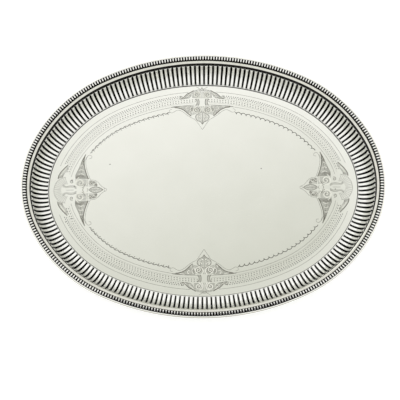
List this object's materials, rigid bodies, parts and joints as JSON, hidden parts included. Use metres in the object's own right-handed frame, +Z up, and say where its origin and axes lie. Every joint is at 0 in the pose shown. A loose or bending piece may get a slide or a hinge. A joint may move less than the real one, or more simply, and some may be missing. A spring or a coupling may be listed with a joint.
{
  "type": "silver salver",
  "caption": "Oval silver salver: a flat engraved with cartouches inside a raised lobed border with a plain fillet, a bead row and a plain outer edge, for carrying and serving.",
  "frame": {"origin": "centre of the flat underside, in the plane that the salver rests on", "axes": "+X along the long axis, +Y along the short axis towards the far side, +Z up through the flat"},
  "size_m": [0.46, 0.344, 0.0325],
  "materials": {
    "engraved_silver": "polished sterling silver with bright-cut engraving",
    "lobed_silver": "polished sterling silver, grooves left dark with tarnish",
    "wire_silver": "polished sterling silver",
    "beaded_silver": "polished sterling silver beads on a dark tarnished ground"
  },
  "bodies": {
    "root": {"flat_sheet": "engraved_silver", "lobed_border_1": "lobed_silver", "lobed_border_2": "lobed_silver", "lobed_border_3": "lobed_silver", "lobed_border_4": "lobed_silver", "lobed_border_5": "lobed_silver", "lobed_border_6": "lobed_silver", "fillet_wire_1": "wire_silver", "fillet_wire_2": "wire_silver", "edge_wire_1": "wire_silver", "edge_wire_2": "wire_silver", "bead_wire_1": "beaded_silver", "bead_wire_2": "beaded_silver", "bead_wire_3": "beaded_silver", "bead_wire_4": "beaded_silver"}
  },
  "joints": []
}
